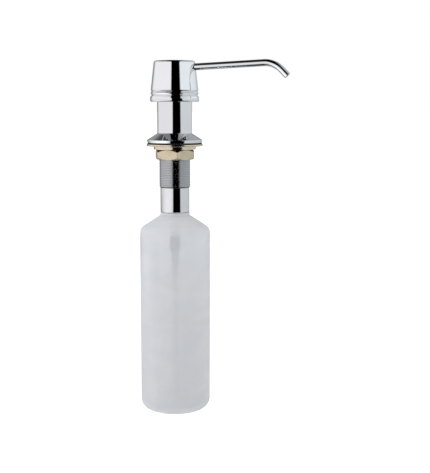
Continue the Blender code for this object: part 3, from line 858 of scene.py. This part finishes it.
def coil():
    """The return spring: round wire with flattened end coils."""
    sides, per_turn, turns = 16, 48, 7
    steps = per_turn * turns
    low, high = -9.05, 21.45
    bm = bmesh.new()
    rings = []
    for i in range(steps + 1):
        t = i / steps
        a = TAU * turns * t
        ease = t - math.sin(TAU * t) / TAU * 0.6
        c = Vector((5.35 * math.cos(a), 5.35 * math.sin(a), low + (high - low) * ease))
        out = Vector((math.cos(a), math.sin(a), 0))
        size = 0.45 if 0 < i < steps else 0.36
        rings.append(
            [
                bm.verts.new((c + out * size * math.cos(TAU * s / sides) + Vector((0, 0, size * math.sin(TAU * s / sides)))) * MM)
                for s in range(sides)
            ]
        )
    for a, b in zip(rings[:-1], rings[1:]):
        for s in range(sides):
            t = (s + 1) % sides
            bm.faces.new([a[s], a[t], b[t], b[s]])
    bm.faces.new(rings[0])
    bm.faces.new(list(reversed(rings[-1])))
    return bm


spring = make("coil_spring", coil(), drawn_steel("spring_wire"), "pump_insert", "return_spring")
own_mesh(spring)


def suction_tube():
    profile = rounded([(2.2, -236.0), (2.2, -16.0), (3.0, -16.0), (3.0, -236.0)], 0.12)
    runs = []
    for a, b in zip(profile, profile[1:] + profile[:1]):
        runs.append(a)
        if abs(b[1] - a[1]) > 50:
            runs += [(a[0], a[1] + (b[1] - a[1]) * k / 40) for k in range(1, 40)]
    bm = lathe_bmesh(runs, 48)
    for v in bm.verts:
        if v.co.z < -0.2350:
            v.co.z += (v.co.x + 0.003) * 0.7
    return bm


make("suction_tube", suction_tube(), moulded("tube_polyethylene", (0.54, 0.55, 0.57), (0.2, 0.3)), "pump_insert", "dip_tube")


def sphere(radius, z):
    bm = bmesh.new()
    bmesh.ops.create_icosphere(bm, subdivisions=4, radius=radius * MM, matrix=Matrix.Translation((0, 0, z * MM)))
    return bm


steel = drawn_steel("ground_steel")
make("lower_ball", sphere(3.0, -12.0 + math.sqrt(9 - 2.2**2) + 0.3), steel, "inlet_valve", "inlet_ball", 80)
make("upper_ball", sphere(2.5, 60.5 + 1.5 + 0.3), steel, "outlet_valve", "outlet_ball", 80)

stem = rounded(
    [
        (2.0, 22.2),
        (2.0, 60.5),
        (2.85, 60.5),
        (2.85, 66.0),
        (3.5, 66.0),
        (3.5, 33.5),
        (4.7, 33.5),
        (4.7, 31.8),
        (3.5, 31.8),
        (3.5, 23.7),
        (5.8, 23.7),
        (5.8, 22.2),
    ],
    0.18,
)
make("hollow_stem", lathe_bmesh(stem, 72), moulded("stem_acetal", (0.84, 0.84, 0.83)), "piston_rod", "piston_stem")

cup = rounded(
    [(3.8, 24.0), (3.8, 31.5), (5.4, 31.5), (6.1, 31.5), (6.5, 31.1), (5.8, 28.8), (5.8, 26.7), (6.5, 24.4), (6.1, 24.0)],
    0.2,
)
make("piston_cup", lathe_bmesh(cup, 72), rubber("elastomer_cup"), "piston_rod", "piston_seal")


# =============================================================================
# Head
# =============================================================================

RISE = math.radians(2.94)
SPOUT_DIR = Vector((math.cos(RISE), 0, math.sin(RISE)))


def spout_point(distance):
    return Vector((distance, 0, 67.0 + distance * math.tan(RISE)))


shell_profile = rounded(
    [
        (0.0, 73.6, 0.0),
        (9.0, 73.57, 40.0),
        (18.32, 73.35, 1.9),
        (21.2, 47.55, 0.3),
        (20.75, 46.85, 0.25),
        (20.75, 46.3, 0.25),
        (21.1, 45.6, 0.5),
        (21.35, 44.8, 0.8),
        (21.05, 44.0, 0.4),
        (20.55, 43.5, 0.2),
        (20.55, 42.9, 0.2),
        (21.5, 42.2, 0.4),
        (21.82, 40.4, 1.6),
        (21.85, 38.3, 0.7),
        (21.3, 37.4, 0.5),
        (19.9, 37.4, 0.4),
        (19.6, 38.0, 0.3),
        (19.2, 42.0, 0.6),
        (18.5, 44.5, 0.6),
        (18.5, 48.0, 0.6),
        (16.25, 71.5, 1.0),
        (0.0, 71.5, 0.0),
    ],
    closed=False,
    step=9.0,
)
shell_mesh = carve(
    lathe_bmesh(shell_profile, 200, closed=False),
    [rod(spout_point(10), SPOUT_DIR, 20, 3.25, 64)],
)
make("press_head", shell_mesh, chrome("plated_head"), "head", "head_shell")

core_profile = rounded(
    [
        (0.0, 71.2, 0.0),
        (15.9, 71.2, 0.5),
        (16.7, 62.8, 0.4),
        (6.5, 62.8, 0.8),
        (6.5, 58.2, 0.4),
        (3.8, 58.2, 0.3),
        (3.8, 66.3, 0.1),
        (2.6, 66.3, 0.1),
        (2.6, 68.6, 0.2),
        (0.0, 68.6, 0.0),
    ],
    closed=False,
)
core_mesh = carve(
    lathe_bmesh(core_profile, 96, closed=False),
    [rod(spout_point(4.3), SPOUT_DIR, 20, 3.3, 48), rod(spout_point(0.7), SPOUT_DIR, 5.5, 1.6, 32)],
)
make("head_body", core_mesh, moulded("core_polypropylene", (0.78, 0.79, 0.80)), "head", "head_core")


def spout():
    bend_radius, drop, nose_run = 20.4, math.radians(45.4), 16.6
    bend = RISE + drop
    tangent = bend_radius * math.tan(bend / 2)
    corner = spout_point(89.5)
    up = Vector((-math.sin(RISE), 0, math.cos(RISE)))
    start = corner - SPOUT_DIR * tangent
    centre = start - up * bend_radius
    path = []
    begin = spout_point(6.0)
    for k in range(14):
        path.append((begin + (start - begin) * k / 14, SPOUT_DIR.copy()))
    steps = 40
    for k in range(steps + 1):
        turn = Matrix.Rotation(bend * k / steps, 3, "Y")
        path.append((centre + turn @ up * bend_radius, turn @ SPOUT_DIR))
    nose = Matrix.Rotation(bend, 3, "Y") @ SPOUT_DIR
    stop = corner + nose * nose_run
    leave = path[-1][0]
    for k in range(1, 5):
        path.append((leave + (stop - nose * 0.35 - leave) * k / 4, nose))
    path.append((stop, nose))
    return sweep(path, 3.045, 2.3, 64)


make("spout_pipe", spout(), chrome("plated_spout", rough=(0.03, 0.07)), "head", "spout_tube", 50.0)

washer_mesh = lathe_bmesh(rounded([(2.3, -0.45), (2.3, 0.45), (3.0, 0.45), (3.0, -0.45)], 0.12), 48)
place = Matrix.Translation(spout_point(5.15) * MM) @ SPOUT_DIR.to_track_quat("Z", "Y").to_matrix().to_4x4()
bmesh.ops.transform(washer_mesh, matrix=place, verts=washer_mesh.verts)
make("pipe_seal", washer_mesh, rubber("nitrile_pipe_seal"), "head", "spout_seal")


# =============================================================================
# Studio: floor, surroundings and camera
# =============================================================================

CAM_AZ = math.radians(12.0)
CAM_ROLL = 0.08
RIGHT = Vector((math.cos(CAM_AZ), math.sin(CAM_AZ), 0))
BACK = Vector((math.sin(CAM_AZ), -math.cos(CAM_AZ), 0))


def floor():
    """A wide pale disc, low enough for the bottle to be unscrewed above it."""
    bm = bmesh.new()
    bmesh.ops.create_circle(bm, cap_ends=True, segments=128, radius=60.0)
    obj = helper("studio_floor", bm)
    obj.location = (0, 0, -0.2600)
    mat = bpy.data.materials.new("pale_floor")
    mat.use_nodes = True
    n = Nodes(mat.node_tree)
    shader = n.made["Principled BSDF"]
    shader.inputs["Base Color"].default_value = (0.55, 0.55, 0.55, 1)
    shader.inputs["Roughness"].default_value = 0.9
    shader.inputs["Specular IOR Level"].default_value = 0.0
    shader.inputs["Emission Color"].default_value = (1, 1, 1, 1)
    shader.inputs["Emission Strength"].default_value = 0.69
    obj.data.materials.append(mat)
    obj.visible_glossy = False
    return obj


floor()


def surroundings():
    """A white studio: a tall soft panel on each side of the camera, unlit space between
    them where the camera stands, a dim backdrop, and a dark ceiling and floor. Rough
    surfaces, which gather light from everywhere, see its even average instead."""
    world = bpy.data.worlds.new("studio")
    bpy.context.scene.world = world
    # What a mirror sees and what a matt surface sees differ here, so only the rays
    # that leave a surface by its own law may read this shader.
    world.cycles.sampling_method = "NONE"
    world.use_nodes = True
    n = Nodes(world.node_tree)
    n.made.clear()
    ray = n.add("ShaderNodeTexCoord").outputs["Generated"]
    ahead = n.vmath("DOT_PRODUCT", ray, tuple(BACK))
    aside = n.vmath("DOT_PRODUCT", ray, tuple(RIGHT))
    height = n.vmath("DOT_PRODUCT", ray, (0, 0, 1))
    turn = n.math("MULTIPLY", n.math("ARCTAN2", aside, ahead), 360 / TAU)
    lift = n.math("ADD", n.math("DIVIDE", n.math("ARCSINE", height), math.pi), 0.5)

    def profile(stops, tint=(1.0, 1.0, 1.0)):
        """Brightness against elevation in degrees."""
        return n.ramp(lift, [((el + 90) / 180, tuple(v * c for c in tint)) for el, v in stops])

    low_left = [(-62, 0.05), (-54, 0.10), (-47, 0.30), (-41, 1.08), (-30, 1.24), (-16, 1.07), (-7, 0.91), (-2, 0.83), (4, 0.84), (10, 0.92), (17, 0.92)]
    far_left = profile([*low_left, (23, 0.64), (32, 0.50), (40, 0.42), (48, 0.25), (64, 0.21), (72, 0.01)], (0.995, 0.99, 1.02))
    near_left = profile([*low_left, (23, 0.72), (29, 0.50), (36, 0.14), (44, 0.02), (54, 0.0)], (0.995, 0.99, 1.02))
    right = profile(
        [(-62, 0.02), (-50, 0.12), (-41, 0.58), (-34, 0.66), (-24, 0.60), (-12, 0.55), (-6, 0.60), (0, 0.68), (6, 0.76), (11, 0.88), (16, 0.87), (21, 0.60), (30, 0.50), (45, 0.52), (56, 0.48), (64, 0.26), (72, 0.01)],
        (0.955, 1.0, 1.035),
    )
    back_left = profile(
        [(-70, 0.22), (-45, 0.40), (-10, 0.33), (0, 0.32), (10, 0.30), (18, 0.34), (30, 0.30), (45, 0.09), (60, 0.02)],
        (0.98, 1.0, 1.03),
    )
    back_right = profile(
        [(-70, 0.20), (-45, 0.44), (-6, 0.48), (0, 0.55), (10, 0.56), (24, 0.42), (48, 0.36), (62, 0.30), (72, 0.02)],
        (0.97, 1.0, 1.03),
    )
    back = profile(
        [(-70, 0.18), (-50, 0.36), (-30, 0.50), (0, 0.46), (8, 0.36), (20, 0.22), (40, 0.12), (55, 0.05), (68, 0.0)],
        (0.98, 1.0, 1.02),
    )
    rim_left = n.math("SUBTRACT", -11.0, n.math("MULTIPLY", n.math("ABSOLUTE", n.math("SUBTRACT", lift, 0.5)), 45.0))
    rim_right = n.math(
        "MULTIPLY",
        n.ramp(lift, [((el + 90) / 180, v / 60) for el, v in [(-20, 46), (-6, 46), (0, 41), (12, 30.5), (18, 31), (30, 36), (55, 46)]]),
        60.0,
    )
    on_left = n.remap(n.math("SUBTRACT", turn, rim_left), -2.5, 2.5, 1.0, 0.0, True)
    on_right = n.remap(n.math("SUBTRACT", turn, rim_right), -3.0, 3.0, 0.0, 1.0, True)
    left = n.mix(n.remap(turn, -58, -42, 0.0, 1.0, True), far_left, near_left)
    # The left panel's light falls off to both sides below eye level, and the lower
    # part of its near edge is in the camera's shade.
    spread = n.ramp(
        n.remap(turn, -150, -8),
        [(0.0, 0.40), (0.14, 0.42), (0.25, 0.62), (0.35, 0.78), (0.46, 0.91), (0.60, 1.0), (0.76, 1.0), (0.86, 0.9), (1.0, 0.62)],
    )
    below = n.ramp(lift, [(0.30, 0.85), (0.42, 0.7), (0.465, 1.0), (0.49, 0.0)])
    left = n.mix(below, left, n.mix(1.0, left, spread, "MULTIPLY"))
    shade = n.ramp(lift, [(0.17, 0.3), (0.25, 0.38), (0.30, 0.60), (0.355, 0.74), (0.40, 0.88), (0.433, 1.0)])
    left = n.mix(n.remap(turn, -40, -24, 0.0, 1.0, True), left, n.mix(1.0, left, shade, "MULTIPLY"))
    side_left = n.mix(n.remap(turn, -142, -122, 0.0, 1.0, True), back_left, left)
    side_right = n.mix(n.remap(turn, 128, 148, 0.0, 1.0, True), right, back_right)
    walls = n.mix(n.remap(turn, 12, 14), n.mix(on_left, (0.0, 0.0, 0.0), side_left), n.mix(on_right, (0.0, 0.0, 0.0), side_right))
    away = n.remap(n.math("ABSOLUTE", turn), 160, 174, 0.0, 1.0, True)
    whole = n.mix(away, walls, back)
    light_path = n.add("ShaderNodeLightPath")
    even = n.ramp(
        n.math("ADD", n.math("DIVIDE", turn, 360.0), 0.5),
        [
            (0.0, (0.78, 0.79, 0.80)),
            (0.22, (1.10, 1.11, 1.13)),
            (0.40, (1.02, 1.03, 1.05)),
            (0.54, (0.56, 0.57, 0.58)),
            (0.66, (0.62, 0.625, 0.63)),
            (0.78, (0.84, 0.845, 0.85)),
            (1.0, (0.78, 0.79, 0.80)),
        ],
    )
    even = n.mix(1.0, even, n.ramp(lift, [(0.3, 0.75), (0.5, 0.92), (0.62, 1.5), (1.0, 1.9)]), "MULTIPLY")
    lit = n.mix(light_path.outputs["Is Glossy Ray"], even, whole)
    shown = n.mix(light_path.outputs["Is Camera Ray"], lit, (1.0, 1.0, 1.0))
    background = n.add("ShaderNodeBackground")
    n.link(shown, background.inputs["Color"])
    background.inputs["Strength"].default_value = 1.0
    out = n.add("ShaderNodeOutputWorld")
    n.link(background.outputs[0], out.inputs[0])


surroundings()

camera = bpy.data.objects.new("camera", bpy.data.cameras.new("camera"))
bpy.context.scene.collection.objects.link(camera)
bpy.context.scene.camera = camera
camera.data.sensor_width = 36.0
camera.data.lens = 975.0 / 473.0 * 36.0
camera.data.clip_start, camera.data.clip_end = 0.01, 100.0
camera.location = BACK * 0.877 + RIGHT * 0.0362 + Vector((0, 0, 0.0320))
look = Matrix.Rotation(CAM_AZ, 3, "Z") @ Matrix.Rotation(math.radians(90 - 7.51), 3, "X")
look = look @ Matrix.Rotation(math.radians(CAM_ROLL), 3, "Z")
camera.rotation_euler = look.to_euler()

bpy.context.scene.view_settings.view_transform = "Standard"
